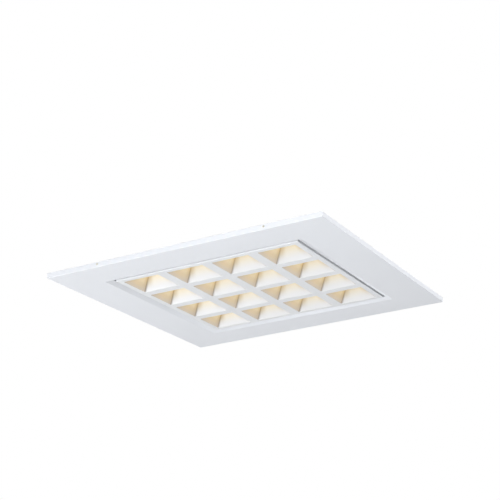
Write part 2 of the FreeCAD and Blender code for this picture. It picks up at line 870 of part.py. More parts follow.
def input_leads():
    """The live and neutral leads to the driver, and the lead to the earth stud."""
    height = earth_wire_height()
    start_y = terminal_middle_y + terminal_depth / 2
    driver_end = driver_middle_x - driver_length / 2 - driver_cap_length
    poles = pole_middles()
    spread = driver_width / 4
    routes = [[Vector(pole, start_y, height), Vector(pole, entry, height),
               Vector(driver_end, entry, height)]
              for pole, entry in ((poles[0], driver_middle_y + spread),
                                  (poles[1], driver_middle_y))]
    routes.append([Vector(poles[2], start_y, height), Vector(poles[2], earth_y, height),
                   Vector(earth_x - earth_radius, earth_y, height)])
    return all_of([lead(route, wire_radius, wire_bend_radius) for route in routes])


def tab_faces():
    """The inner and the outer face of a tab's bar, from the middle of the panel."""
    outer = panel_half - sheet - tab_gap
    return (outer - tab_thickness, outer)


def tab_hole(x, side, way):
    """The middle of a tab's wire hole, on the upper face of its foot."""
    return Vector(x + way * tab_length, side * (tab_faces()[0] - tab_foot / 2),
                  tab_height + tab_half_width)


def tie_tab(x, side, way):
    """One tie-wire tab along the inside of the rim, with a foot at its tip for the wire."""
    inner, outer = (side * face for face in tab_faces())
    hole = tab_hole(x, side, way)
    top = tab_height + tab_half_width
    end = hole.x + way * tab_half_width

    def disc(radius, past):
        return rod(radius, Vector(x, inner - side * past, tab_height),
                   Vector(x, outer + side * past, tab_height))

    bar = box((min(x, end), max(x, end)), (min(inner, outer), max(inner, outer)),
              (tab_height - tab_half_width, top))
    toe = inner - side * tab_foot
    foot = box(about(hole.x, 2 * tab_half_width), (min(inner, toe), max(inner, toe)),
               (top - tab_thickness, top))
    tab = join([bar, foot, disc(tab_half_width, 0)])
    return tab.cut([disc(eyelet_radius + running_fit, THROUGH),
                    upright(tab_wire_radius, hole.x, hole.y, top - tab_thickness - THROUGH,
                            top + THROUGH)])


def tab_rivets():
    """Four hollow rivets in the rim that the tabs turn on."""
    rivets = []
    for x, side, _ in tab_places():
        def disc(radius, start, end):
            return rod(radius, Vector(x, side * start, tab_height),
                       Vector(x, side * end, tab_height))
        inside = tab_faces()[0] - tab_gap
        head = disc(eyelet_head_radius, panel_half, panel_half + eyelet_head_height)
        shank = disc(eyelet_radius, inside, panel_half)
        tail = disc(eyelet_head_radius, inside - eyelet_head_height, inside)
        bore = disc(eyelet_bore_radius, inside - eyelet_head_height - THROUGH,
                    panel_half + eyelet_head_height + THROUGH)
        rivets.append(join([head, shank, tail]).cut(bore))
    return all_of(rivets)


def suspension_lugs():
    """Four upright lugs on the pan, each with a hole for a suspension wire."""
    lugs = []
    for x in (-lug_offset, lug_offset):
        for y in (-lug_offset, lug_offset):
            outer = math.copysign(abs(x) + lug_foot / 2, x)
            inner = math.copysign(abs(outer) - lug_thickness, x)
            wall_x = (min(inner, outer), max(inner, outer))
            foot = box(about(x, lug_foot), about(y, lug_width), (pan_top, pan_top + lug_thickness))
            wall = box(wall_x, about(y, lug_width), (pan_top, pan_top + lug_height))
            height = pan_top + lug_hole_height
            hole = rod(lug_hole_radius, Vector(wall_x[0] - THROUGH, y, height),
                       Vector(wall_x[1] + THROUGH, y, height))
            lugs.append(join([foot, wall]).cut(hole))
    return all_of(lugs)


def all_pieces():
    """Every piece of the light by its name."""
    pieces = {
        "bezel_frame": bezel_frame(),
        "corner_gussets": corner_gussets(),
        "frame_studs": frame_studs(),
        "frame_nuts": frame_nuts(),
        "rear_housing": rear_housing(),
        "seat_frame": seat_frame(),
        "seat_rivets": seat_rivets(),
        "diffuser_rails": diffuser_rails(),
        "diffuser_sheet": diffuser_sheet(),
        "led_chips": led_chips(),
        "board_screws": board_screws(),
        "board_connectors": board_connectors(),
        "board_jumpers": board_jumpers(),
        "output_lead": output_lead(),
        "lead_grommet": lead_grommet(),
        "hinge_brackets": hinge_brackets(),
        "magnet_catches": magnet_catches(),
        "gear_box": gear_box(),
        "gear_box_screws": gear_box_screws(),
        "driver_case": driver_case(),
        "driver_end_caps": driver_end_caps(),
        "terminal_block": terminal_block(),
        "earth_post": earth_post(),
        "inlet_gland": inlet_gland(),
        "input_leads": input_leads(),
        "lid_hinge_pin": lid_hinge_pin(),
        "tab_rivets": tab_rivets(),
        "suspension_lugs": suspension_lugs(),
        "louvre_face": louvre_face(),
        "hinge_pins": hinge_pins(),
        "strike_plates": strike_plates(),
        "gear_box_lid": gear_box_lid(),
        "lid_screw": lid_screw(),
    }
    for number, y in enumerate(cell_middles(), 1):
        pieces[f"led_board_{number}"] = led_board(y)
    for row, y in enumerate(cell_middles(), 1):
        for column, x in enumerate(cell_middles(), 1):
            pieces[f"reflector_cup_{row}_{column}"] = reflector_cup(x, y)
    for number, x in enumerate(pole_middles(), 1):
        pieces[f"terminal_lever_{number}"] = terminal_lever(x)
    for number, (x, side, way) in enumerate(tab_places(), 1):
        pieces[f"tie_tab_{number}"] = tie_tab(x, side, way)
    return pieces


os.makedirs("parts", exist_ok=True)
for name, piece in all_pieces().items():
    piece.exportStep(f"parts/{name}.step")
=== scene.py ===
import math

import bmesh
import bpy
from bpy.props import FloatProperty, FloatVectorProperty, IntProperty, PointerProperty
from mathutils import Matrix, Vector


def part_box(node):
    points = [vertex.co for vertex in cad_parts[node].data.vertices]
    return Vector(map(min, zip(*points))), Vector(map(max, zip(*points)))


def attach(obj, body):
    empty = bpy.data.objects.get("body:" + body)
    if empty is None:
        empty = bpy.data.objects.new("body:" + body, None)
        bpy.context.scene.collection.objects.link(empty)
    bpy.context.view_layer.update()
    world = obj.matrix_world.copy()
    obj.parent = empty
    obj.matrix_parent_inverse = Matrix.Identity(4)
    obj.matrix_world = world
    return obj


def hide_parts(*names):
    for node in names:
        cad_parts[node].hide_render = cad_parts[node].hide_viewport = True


bl_info = {
    "name": "Recessed louvred troffer light",
    "version": (1, 0, 0),
    "blender": (4, 5, 0),
    "location": "View3D > Sidebar > Troffer",
    "description": "Dresses a lay-in ceiling light with its finishes and small fittings",
    "category": "Object",
}

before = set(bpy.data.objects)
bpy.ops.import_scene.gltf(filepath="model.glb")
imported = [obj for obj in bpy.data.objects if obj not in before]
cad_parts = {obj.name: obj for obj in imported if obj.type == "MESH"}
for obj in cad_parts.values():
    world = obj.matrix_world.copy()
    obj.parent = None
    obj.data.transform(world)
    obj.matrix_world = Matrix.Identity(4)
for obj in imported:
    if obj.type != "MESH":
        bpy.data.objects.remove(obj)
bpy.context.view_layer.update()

MM = 0.001


# Places read from the parts of model.glb

def middle_of(node):
    """The middle of a node's box."""
    low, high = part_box(node)
    return (low + high) / 2


def parts_of(node):
    """The boxes of the separate solids inside one node, as (low, high) pairs."""
    mesh = bmesh.new()
    mesh.from_mesh(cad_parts[node].data)
    bmesh.ops.remove_doubles(mesh, verts=mesh.verts, dist=0.001 * MM)
    boxes = []
    left = set(mesh.verts)
    while left:
        island = [left.pop()]
        for vertex in island:
            joined = left.intersection(edge.other_vert(vertex) for edge in vertex.link_edges)
            left -= joined
            island += joined
        boxes.append([Vector([pick(vertex.co[axis] for vertex in island) for axis in range(3)])
                      for pick in (min, max)])
    mesh.free()
    return sorted(boxes, key=lambda box: tuple(round(v, 5) for v in box[0]))


def solid_size(node):
    """The size of a node's first solid, in millimetres."""
    low, high = parts_of(node)[0]
    return (high - low) / MM


def nodes_named(start):
    """The names of the CAD nodes that start with some words, in order."""
    return sorted(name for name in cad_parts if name.startswith(start))


louvre_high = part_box("louvre_face")[1]
cup_low, cup_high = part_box("reflector_cup_1_1")
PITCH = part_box("reflector_cup_1_2")[0].x - cup_low.x
CELL_SHIFT = 0.5 - (cup_low.x + cup_high.x) / 2 / PITCH % 1.0
CUP_DEPTH = cup_high.z - cup_low.z
CUP_LIP = 3 * MM
CUP_MOUTH = (cup_high.x - cup_low.x) / 2 - CUP_LIP
CUP_WINDOW = 16 * MM     # half the width of the window at a cup's top
SKIN = 0.7 * MM          # half the thickness of a cup's wall
SHEET = 0.8              # the light's sheet steel, in millimetres


# Settings that a user would change

class TrofferFinishes(bpy.types.PropertyGroup):
    """Colours of the light's finishes, and of the glow and shade painted into the cups."""

    bezel_white: FloatVectorProperty(
        name="Bezel white", description="Powder coat of the bezel, the pan and the seat",
        subtype="COLOR", default=(0.795, 0.82, 0.865))
    louvre_white: FloatVectorProperty(
        name="Louvre white", description="Powder coat of the louvre plate",
        subtype="COLOR", default=(0.78, 0.80, 0.83))
    cup_white: FloatVectorProperty(
        name="Cup white", description="Satin white of the cups near their mouths",
        subtype="COLOR", default=(0.70, 0.73, 0.77))
    # Painted glow: the cups turn to this warm colour towards their windows, where the chips' light
    # falls.
    cup_painted_glow: FloatVectorProperty(
        name="Cup warm", description="Warm tint of the cups near their windows",
        subtype="COLOR", default=(0.70, 0.655, 0.515))
    # Painted shade: by their mouths, the walls that face along X take this colour, darker than the
    # cup white.
    end_wall_shade_at_mouth: FloatVectorProperty(
        name="Cup mouth", description="Tint of the end walls by their mouths",
        subtype="COLOR", default=(0.566, 0.549, 0.503))
    # Painted shade and glow: above their mouths, the walls that face along X turn to this darker,
    # warmer colour.
    end_wall_shade_above_mouth: FloatVectorProperty(
        name="Cup tan", description="Tint of the end walls above their mouths",
        subtype="COLOR", default=(0.624, 0.567, 0.444))
    # Painted shade deep in the cups' inner corners.
    cup_corner_shade: FloatVectorProperty(
        name="Cup corner", description="Deeper tint along the inner corners",
        subtype="COLOR", default=(0.41, 0.33, 0.19))
    # Painted shade in the corners by the mouths; at half brightness it is also the painted dark
    # line along each corner.
    cup_shade: FloatVectorProperty(
        name="Cup shade", description="Greyer tint of the corners by the mouths",
        subtype="COLOR", default=(0.47, 0.44, 0.44))
    cup_metal: FloatProperty(
        name="Cup metal", description="How metallic the cups are",
        default=0.45, min=0.0, max=1.0)
    # Painted glow: the cups give off this light, though they are no lamp.
    cup_glow: FloatVectorProperty(
        name="Cup glow", description="Colour of the light passed on",
        subtype="COLOR", default=(1.0, 0.54, 0.06))
    # Strength of the cups' painted glow.
    cup_shine: FloatProperty(
        name="Cup shine", description="Strength of the light passed on",
        default=0.26, min=0.0)
    glow: FloatVectorProperty(
        name="Glow", description="Colour of the light behind the cups",
        subtype="COLOR", default=(1.0, 0.74, 0.36))
    glow_strength: FloatProperty(
        name="Glow strength", description="Emission of the opal sheet over each cell",
        default=0.9, min=0.0)
    steel: FloatVectorProperty(
        name="Galvanised steel", description="Zinc-coated sheet of the brackets",
        subtype="COLOR", default=(0.62, 0.64, 0.66))
    zinc: FloatVectorProperty(
        name="Zinc fastener", description="Bright zinc of screws, nuts and rivets",
        subtype="COLOR", default=(0.70, 0.70, 0.67))
    board: FloatVectorProperty(
        name="Board white", description="Solder mask of the light boards",
        subtype="COLOR", default=(0.86, 0.87, 0.86))
    phosphor: FloatVectorProperty(
        name="Phosphor", description="Yellow of the chips' lenses",
        subtype="COLOR", default=(0.90, 0.70, 0.18))
    driver: FloatVectorProperty(
        name="Driver aluminium", description="The driver's extruded body",
        subtype="COLOR", default=(0.74, 0.75, 0.77))
    black: FloatVectorProperty(
        name="Black plastic", description="Driver end caps",
        subtype="COLOR", default=(0.035, 0.036, 0.040))
    grey: FloatVectorProperty(
        name="Grey plastic", description="Terminal block and cable gland",
        subtype="COLOR", default=(0.38, 0.40, 0.42))
    orange: FloatVectorProperty(
        name="Lever orange", description="Levers of the terminal block",
        subtype="COLOR", default=(0.80, 0.28, 0.04))


class TrofferFittings(bpy.types.PropertyGroup):
    """Sizes of the small fittings."""

    edge_round: FloatProperty(
        name="Edge round", description="Rounding of moulded edges",
        default=0.3 * MM, min=0.0, unit="LENGTH")
    sheet_edge: FloatProperty(
        name="Sheet edge", description="Rounding of cut sheet edges",
        default=0.15 * MM, min=0.0, unit="LENGTH")
    louvre_gap: FloatProperty(
        name="Louvre gap", description="Gap between the louvre and the bevel",
        default=3.3 * MM, min=0.0, unit="LENGTH")
    bevel_slope: FloatProperty(
        name="Bevel slope", description="Slope of the bevel, in degrees",
        default=20.0, min=0.0, max=30.0)
    bead_width: FloatProperty(
        name="Bead width", description="Width of the pan's stiffening beads",
        default=7.0 * MM, min=0.0, unit="LENGTH")
    bead_height: FloatProperty(
        name="Bead height", description="Height of the stiffening beads",
        default=1.1 * MM, min=0.0, unit="LENGTH")
    round_steps: IntProperty(
        name="Round steps", description="Segments round a full turn", default=24, min=12)


class TrofferStudio(bpy.types.PropertyGroup):
    """Camera and lamps."""

    camera_place: FloatVectorProperty(
        name="Camera place", description="Where the camera stands",
        subtype="TRANSLATION", unit="LENGTH", default=(1.2436, -2.3961, -0.8957))
    camera_right: FloatVectorProperty(
        name="Camera right", description="Direction of the image's right side",
        subtype="DIRECTION", default=(0.88001865, 0.47348345, -0.03715636))
    camera_up: FloatVectorProperty(
        name="Camera up", description="Direction of the image's upper side",
        subtype="DIRECTION", default=(0.19311268, -0.28524853, 0.93879751))
    focal_length: FloatProperty(
        name="Focal length", description="Lens of the camera on a 36 mm sensor, in millimetres",
        default=100.64, min=1.0)
    floor_drop: FloatProperty(
        name="Floor drop", description="How far the floor lies below",
        default=2.0, min=0.1, unit="LENGTH")
    world_strength: FloatProperty(
        name="World strength", description="Even light from all round", default=0.25, min=0.0)
    key_power: FloatProperty(
        name="Key power", description="Lamp on the near side, by the camera", unit="POWER",
        default=40.5, min=0.0)
    near_power: FloatProperty(
        name="Near power", description="Lamp below the near left", unit="POWER",
        default=8.0, min=0.0)
    left_power: FloatProperty(
        name="Left power", description="Lamp on the left side", unit="POWER",
        default=12.5, min=0.0)
    side_power: FloatProperty(
        name="Side power", description="Lamp on the right, above the face",
        unit="POWER", default=32.0, min=0.0)
    rim_power: FloatProperty(
        name="Rim power", description="Lamp on the near side, above the face",
        unit="POWER", default=6.0, min=0.0)
    top_power: FloatProperty(
        name="Top power", description="Lamp above the back of the light", unit="POWER",
        default=34.0, min=0.0)


# Shader building

class Link:
    """A socket of a finish that takes part in arithmetic."""

    def __init__(self, finish, socket):
        self.finish = finish
        self.socket = socket

    def maths(self, operation, *values):
        return self.finish.maths(operation, self, *values)

    def __add__(self, other):
        return self.maths("ADD", other)

    def __radd__(self, other):
        return self.finish.maths("ADD", other, self)

    def __sub__(self, other):
        return self.maths("SUBTRACT", other)

    def __rsub__(self, other):
        return self.finish.maths("SUBTRACT", other, self)

    def __mul__(self, other):
        return self.maths("MULTIPLY", other)

    def __rmul__(self, other):
        return self.finish.maths("MULTIPLY", other, self)

    def __truediv__(self, other):
        return self.maths("DIVIDE", other)

    def __rtruediv__(self, other):
        return self.finish.maths("DIVIDE", other, self)

    def __pow__(self, other):
        return self.maths("POWER", other)

    def __abs__(self):
        return self.maths("ABSOLUTE")

    def fraction(self):
        return self.maths("FRACT")

    def above(self, value):
        return self.maths("GREATER_THAN", value)

    def below(self, value):
        return self.maths("LESS_THAN", value)

    def smaller_of(self, other):
        return self.maths("MINIMUM", other)

    def larger_of(self, other):
        return self.maths("MAXIMUM", other)

    def clamped(self):
        return self.smaller_of(1.0).larger_of(0.0)

    def between(self, low, high):
        """0 at low and below, 1 at high and above, smooth in between."""
        return self.finish.add("MapRange", {"Value": self, "From Min": low, "From Max": high},
                               interpolation_type="SMOOTHSTEP")


class Finish:
    """A material, or a world, that is built node by node."""

    def __init__(self, name, kind="materials"):
        self.made = getattr(bpy.data, kind).new(name)
        self.made.use_nodes = True
        self.tree = self.made.node_tree
        self.tree.nodes.clear()
        self.place = self.add("TexCoord", output="Object")

    def feed(self, socket, value):
        if isinstance(value, Link):
            self.tree.links.new(value.socket, socket)
        elif hasattr(value, "__len__") and len(value) == 3 and socket.type == "RGBA":
            socket.default_value = (*value, 1.0)
        else:
            socket.default_value = value

    def add(self, kind, inputs=None, output=0, **settings):
        """One node: the values or links of its sockets, and its settings, which come first."""
        node = self.tree.nodes.new("ShaderNode" + kind)
        for name, value in settings.items():
            setattr(node, name, value)
        for name, value in (inputs or {}).items():
            self.feed(node.inputs[name], value)
        return Link(self, node.outputs[output]) if node.outputs else None

    def maths(self, operation, *values):
        return self.add("Math", dict(enumerate(values)), operation=operation)

    def axes(self, vector=None):
        """The three parts of a vector, by default the object's own coordinates."""
        node = self.tree.nodes.new("ShaderNodeSeparateXYZ")
        self.feed(node.inputs[0], vector or self.place)
        return [Link(self, socket) for socket in node.outputs]

    def streaks(self, scale, detail=3.0, rough=0.6):
        """Noise drawn out by its scale along each axis, per metre."""
        stretched = self.add("Mapping", {"Vector": self.place, "Scale": scale})
        return self.noise(1 / MM, detail, rough, stretched)

    def noise(self, size, detail=3.0, rough=0.55, vector=None):
        """Cloudy noise from 0 to 1, with blobs about size millimetres across."""
        return self.add("TexNoise", {"Vector": vector or self.place, "Scale": 1 / (size * MM),
                                     "Detail": detail, "Roughness": rough})

    def cells(self, size, output="Distance"):
        """Cell pattern, about size millimetres across."""
        return self.add("TexVoronoi", {"Vector": self.place, "Scale": 1 / (size * MM)}, output)

    def mix(self, factor, first, second):
        """A colour between two colours."""
        return self.add("Mix", {0: factor, 6: first, 7: second}, 2, data_type="RGBA")

    def surface(self, colour, roughness, height, depth, strength=0.6, **sockets):
        """The main shader, with a bump of height 0 to 1 that stands for depth millimetres.

        Other sockets are named with underscores for spaces."""
        bump = self.add("Bump", {"Height": height, "Distance": depth * MM, "Strength": strength})
        inputs = {"Base Color": colour, "Roughness": roughness, "Normal": bump}
        for name, value in sockets.items():
            inputs[name.replace("_", " ").title()] = value
        self.add("OutputMaterial", {"Surface": self.add("BsdfPrincipled", inputs)})
        return self.made


def dimmed(colour, *by):
    """A colour with its channels multiplied by one number, or by one each."""
    return [channel * share for channel, share in zip(colour, by * (3 // len(by)))]


def powder_coat(name, colour, roughness=0.42):
    """Powder-coated sheet steel: fine orange peel, faint clouds and faint dark specks."""
    finish = Finish(name)
    peel = finish.noise(1.4, 2.0, 0.5)
    clouds = finish.noise(90)
    specks = finish.noise(0.5, 1.0)
    shade = finish.mix(clouds * 0.5, colour, dimmed(colour, 0.965))
    base = finish.mix(specks.above(0.70) * 0.35, shade, dimmed(colour, 0.93))
    rough = roughness + (clouds - 0.5) * 0.10 + (peel - 0.5) * 0.06
    return finish.surface(base, rough, peel, 0.012, 0.7)


def reflector_with_painted_light(colours):
    """Satin reflector with painted light: painted warm glow towards the window, painted shade on
    the walls that face along X and in the corners, and a painted glow that the walls give off.
    """
    finish = Finish("reflector_satin")
    x, y, z = finish.axes()
    local_x = abs((x / PITCH + CELL_SHIFT).fraction() - 0.5)
    local_y = abs((y / PITCH + CELL_SHIFT).fraction() - 0.5)
    depth = ((z - cup_low.z) / CUP_DEPTH).clamped()
    reach = local_x.larger_of(local_y)
    near_corner = local_x.smaller_of(local_y) / reach
    inside = (CUP_MOUTH + depth * (CUP_WINDOW - CUP_MOUTH) + SKIN - reach * PITCH).above(0.0)
    # The walls that face along X get painted shade and more painted glow than the walls that face
    # along Y.
    end_wall = (local_x - local_y).between(-0.015, 0.015)
    grain = finish.noise(0.9, 2.0)
    clouds = finish.noise(35, 2.0)
    # Painted glow: the walls that face along Y go from white by the mouth to warm towards the
    # window, with faint random clouds.
    side_wall_painted_glow = finish.mix((depth.between(0.05, 0.9) * 0.85 + (clouds - 0.5) * 0.08).clamped(),
                           colours.cup_white, colours.cup_painted_glow)
    # Painted shade and glow: the walls that face along X are darker by the mouth and turn warm
    # towards the window.
    end_wall_painted_shade_and_glow = finish.mix(depth.between(0.05, 0.3), colours.end_wall_shade_at_mouth, colours.end_wall_shade_above_mouth)
    end_wall_painted_shade_and_glow = finish.mix(depth.between(0.3, 0.55), end_wall_painted_shade_and_glow, colours.cup_painted_glow)
    tint = finish.mix(end_wall, side_wall_painted_glow, end_wall_painted_shade_and_glow)
    # Painted shade in the corners: greyer by the mouth, browner deeper in, strongest towards each
    # corner.
    corner = finish.mix(depth.between(0.15, 0.55), colours.cup_shade, colours.cup_corner_shade)
    end_shade = near_corner.between(0.45, 1.0) * 0.42 + near_corner.between(0.80, 1.0) * 0.10
    side_shade = (near_corner.between(0.35, 0.85) * depth * 0.70
                  + near_corner.between(0.82, 1.0) * 0.20)
    shade = (end_wall * end_shade + (1.0 - end_wall) * side_shade).clamped()
    # A painted dark shade line along each inner corner.
    shaded = finish.mix(near_corner.between(0.88, 0.99) * 0.55, finish.mix(shade, tint, corner),
                        dimmed(colours.cup_shade, 0.5))
    base = finish.mix(inside, colours.cup_white, shaded)
    # Painted glow that the inside walls give off: most on the walls that face along X, towards the
    # window and in fans by the corners.
    fans = near_corner.between(0.30, 0.95) * depth.between(0.30, 1.0)
    shine = (0.16 + end_wall * (0.52 - near_corner * 0.22) + depth ** 2.5 * 0.45
             + fans * 0.35).clamped() * inside
    light = finish.mix(shine, (0.0, 0.0, 0.0), colours.cup_glow)
    rough = 0.32 + (clouds - 0.5) * 0.06 + grain * 0.04
    return finish.surface(base, rough, grain, 0.002, 0.5, metallic=colours.cup_metal,
                          emission_color=light, emission_strength=colours.cup_shine)


def opal_finish(glow, strength):
    """Opal sheet lit from behind, brightest over the chips of each cell, with a painted warm glow
    in its colour over the chips.
    """
    finish = Finish("opal_sheet")
    x, y, _ = finish.axes()
    local_x = (x / PITCH).fraction() - 0.5
    local_y = (y / PITCH).fraction() - 0.5
    reach = (local_x * local_x + local_y * local_y) ** 0.5
    spot = 1.0 - reach.between(0.02, 0.42)
    ripple = finish.noise(3, 2.0)
    grain = finish.noise(0.4, 1.0)
    light = finish.mix(0.25 + 0.75 * spot + (ripple - 0.5) * 0.04, dimmed(glow, 0.08), glow)
    # Painted glow: the sheet's own colour turns warmer over the chips, where their light shines
    # through.
    base = finish.mix(spot * 0.5, (0.90, 0.90, 0.88), (0.93, 0.88, 0.76))
    return finish.surface(base, 0.35 + grain * 0.1, grain, 0.01, 0.5,
                          emission_color=light, emission_strength=strength)


def galvanised(colour):
    """Zinc-coated sheet: large faint crystals, rolled grain and a little dulling."""
    finish = Finish("galvanised_sheet")
    crystals = finish.axes(finish.cells(9, "Color"))[0]
    dust = finish.noise(40, 4.0)
    rolled = finish.streaks((40.0, 2500.0, 2500.0))
    base = finish.mix(crystals * 0.45 + dust * 0.25, colour, dimmed(colour, 0.72))
    rough = 0.34 + crystals * 0.12 + (dust - 0.5) * 0.12 + (rolled - 0.5) * 0.05
    return finish.surface(base, rough, rolled, 0.004, 0.5, metallic=0.92)


def extruded(colour):
    """Anodised extrusion: fine lines along its length and faint die marks."""
    finish = Finish("driver_aluminium")
    lines = finish.streaks((12.0, 2600.0, 2600.0))
    broad = finish.streaks((6.0, 300.0, 300.0), 2.0, 0.5)
    clouds = finish.noise(30, 2.0)
    base = finish.mix(broad * 0.4 + lines * 0.25, colour, dimmed(colour, 0.80))
    rough = 0.30 + lines * 0.10 + (clouds - 0.5) * 0.06
    return finish.surface(base, rough, lines, 0.006, metallic=0.9)


def lead_colours():
    """The brown, blue and green-and-yellow insulation of the mains leads."""
    finish = Finish("lead_colours")
    x, y, z = finish.axes()
    lever = [middle_of(name).x for name in nodes_named("terminal_lever")]
    first = x.below((lever[0] + lever[1]) / 2).larger_of(
        y.above(middle_of("driver_case").y + 5.25 * MM))
    earth = x.above((lever[1] + lever[2]) / 2) * y.below(5 * MM)
    stripe = (z / (1.8 * MM) + 0.11).fraction().above(0.5)
    grain = finish.noise(0.3, 2.0)
    flow = finish.noise(8, 2.0)
    striped = finish.mix(stripe, (0.05, 0.28, 0.06), (0.80, 0.62, 0.03))
    plain = finish.mix(first, (0.03, 0.12, 0.42), (0.17, 0.07, 0.035))
    colour = finish.mix(earth, plain, striped)
    base = finish.mix(flow * 0.2, colour, (0.30, 0.30, 0.30))
    return finish.surface(base, 0.36 + grain * 0.12, grain, 0.008)


def bright_zinc(name, colour):
    """Zinc-plated fastener: fine turned grain and a faint yellow bloom."""
    finish = Finish(name)
    bloom = finish.noise(4, 2.0)
    grain = finish.noise(0.25)
    base = finish.mix(bloom, colour, dimmed(colour, 0.93, 0.88, 0.74))
    rough = 0.24 + grain * 0.14 + (bloom - 0.5) * 0.1
    return finish.surface(base, rough, grain, 0.005, metallic=1.0)


def moulded(name, colour, roughness=0.45):
    """Moulded plastic: spark-eroded grain, faint flow clouds and slightly worn high spots."""
    finish = Finish(name)
    grain = finish.noise(0.35, 2.0)
    flow = finish.noise(14)
    lighter = [min(1.0, channel * 1.25 + 0.01) for channel in colour]
    base = finish.mix(flow * 0.5 + grain.between(0.62, 0.8) * 0.4, colour, lighter)
    rough = roughness + (flow - 0.5) * 0.12 + (grain - 0.5) * 0.08
    return finish.surface(base, rough, grain, 0.012, 0.7)


def board_finish(colour):
    """White solder mask over wide copper fields, with fine gaps and a woven base."""
    finish = Finish("board_mask")
    x, y, _ = finish.axes()
    across = (y / PITCH).fraction() - 0.5
    along = (x / PITCH).fraction() - 0.5
    gap_width = 0.35 * MM / PITCH
    cross_gaps = abs(abs(along) - 0.25).below(gap_width)
    gaps = cross_gaps.larger_of(abs(abs(across) - 0.07).below(gap_width))
    weave = finish.noise(0.6, 2.0)
    clouds = finish.noise(25, 2.0)
    base = finish.mix(gaps * 0.55 + clouds * 0.12, colour, (0.62, 0.66, 0.60))
    rough = 0.38 + clouds * 0.1 + gaps * 0.1
    return finish.surface(base, rough, weave * 0.3 + (1.0 - gaps), 0.03)


def chip_finish(phosphor, glow):
    """Lit chips: a yellow lens that glows, with a grainy surface."""
    finish = Finish("lit_chips")
    grain = finish.noise(0.3, 2.0)
    clouds = finish.noise(1.5, 1.0)
    base = finish.mix(clouds, phosphor, dimmed(phosphor, 0.9, 0.8, 0.7))
    light = finish.mix(grain * 0.3, glow, (1.0, 0.93, 0.75))
    return finish.surface(base, 0.25 + grain * 0.15, grain, 0.02, 0.5, coat_weight=0.4,
                          emission_color=light, emission_strength=0.75)


def rubber(name):
    """Matt black rubber with a dusty bloom."""
    finish = Finish(name)
    bloom = finish.noise(6)
    grain = finish.noise(0.3, 2.0)
    base = finish.mix(bloom * 0.5, (0.025, 0.025, 0.027), (0.07, 0.068, 0.066))
    return finish.surface(base, 0.72 + (bloom - 0.5) * 0.15, grain, 0.02)


def magnet_finish():
    """Dark sintered magnet: fine grain, small chips and a dull sheen."""
    finish = Finish("magnet_dark")
    grain = finish.noise(0.4, 4.0, 0.7)
    chips = finish.cells(2.2).between(0.0, 0.25)
    base = finish.mix(grain, (0.06, 0.06, 0.065), (0.16, 0.155, 0.15))
    return finish.surface(base, 0.45 + grain * 0.2, grain + chips * 0.3, 0.03, metallic=0.35)


def turned_brass():
    """Brass with a turned grain and slight tarnish."""
    finish = Finish("earth_brass")
    tarnish = finish.noise(5)
    grain = finish.streaks((300.0, 300.0, 4000.0), 2.0, 0.5)
    base = finish.mix(tarnish.between(0.4, 0.75), (0.80, 0.62, 0.30), (0.52, 0.38, 0.18))
    return finish.surface(base, 0.26 + tarnish * 0.16, grain, 0.006, metallic=1.0)


# Mesh building. Shapes are made along Z in millimetres, and their places are in metres

CROSS_ARM = 0.26      # half width of a driver's cross, of its reach
SLOT_ARM = 0.17       # half width of a screwdriver slot, of its reach
NUT_CORNER = 0.515    # where a nut's end chamfer cuts its corners, of its width
GRIP_RIBS = 24
GRIP_DEPTH = 0.035    # depth of the ribs of a grip, of its radius
THREAD_ROOT = 0.88    # radius of a thread's root, of its outer radius
CREASE = math.radians(32)


def arm(angle, size, half_width):
    """The outline of a straight arm that reaches size along angle 0."""
    return min(size, half_width * size / max(abs(math.sin(angle)), 1e-6))


def hexagon(angle, size):
    """The outline of a hexagon, given its width across flats."""
    return size / 2 / math.cos(angle % (math.pi / 3) - math.pi / 6)


# Each gives the distance from the middle to an outline, at an angle
OUTLINES = {
    "round": lambda angle, size: size,
    "square": lambda angle, size: size / max(abs(math.cos(angle)), abs(math.sin(angle))),
    "hexagon": hexagon,
    "nut_end": lambda angle, size: min(hexagon(angle, size), size * NUT_CORNER),
    "slot": lambda angle, size: arm(angle, size, SLOT_ARM),
    "cross": lambda angle, size: max(arm(angle, size, CROSS_ARM),
                                     arm(angle + math.pi / 2, size, CROSS_ARM)),
    "ribbed": lambda angle, size: size - size * GRIP_DEPTH * math.sin(GRIP_RIBS * angle / 2) ** 2,
}


def shape(stations, sides, bored=False):
    """A body through level outlines, each (radius, height) or (outline, size, height).

    A bored body closes from its last outline to its first."""
    mesh = bmesh.new()
    loops = []
    for *outline, size, height in stations:
        reach_of = OUTLINES[outline[0] if outline else "round"]
        circle = bmesh.ops.create_circle(mesh, segments=sides, radius=1.0, cap_ends=False)["verts"]
        for vertex in circle:
            x, y, _ = vertex.co
            reach = reach_of(math.atan2(y, x), size)
            vertex.co = Vector((x * reach, y * reach, height)) * MM
        loops.append(edges_of(circle))
    for first, second in zip(loops, loops[1:]):
        bmesh.ops.bridge_loops(mesh, edges=first + second)
    if bored:
        bmesh.ops.bridge_loops(mesh, edges=loops[-1] + loops[0])
    else:
        for loop in (loops[0], loops[-1]):
            bmesh.ops.edgeloop_fill(mesh, edges=loop)
    bmesh.ops.recalc_face_normals(mesh, faces=mesh.faces)
    return as_data(mesh)


def edges_of(vertices):
    """The edges of some vertices, each once."""
    return list(dict.fromkeys(edge for vertex in vertices for edge in vertex.link_edges))


def block(mesh, middle, size, width, steps=2):
    """A block round a place; its size and the width of its rounded edges in millimetres."""
    made = bmesh.ops.create_cube(mesh, size=1.0)["verts"]
    bmesh.ops.scale(mesh, verts=made, vec=Vector(size) * MM)
    bmesh.ops.translate(mesh, verts=made, vec=Vector(middle))
    bmesh.ops.bevel(mesh, geom=edges_of(made), offset=width * MM, segments=steps, profile=0.5,
                    affect="EDGES", material=-1, clamp_overlap=True)


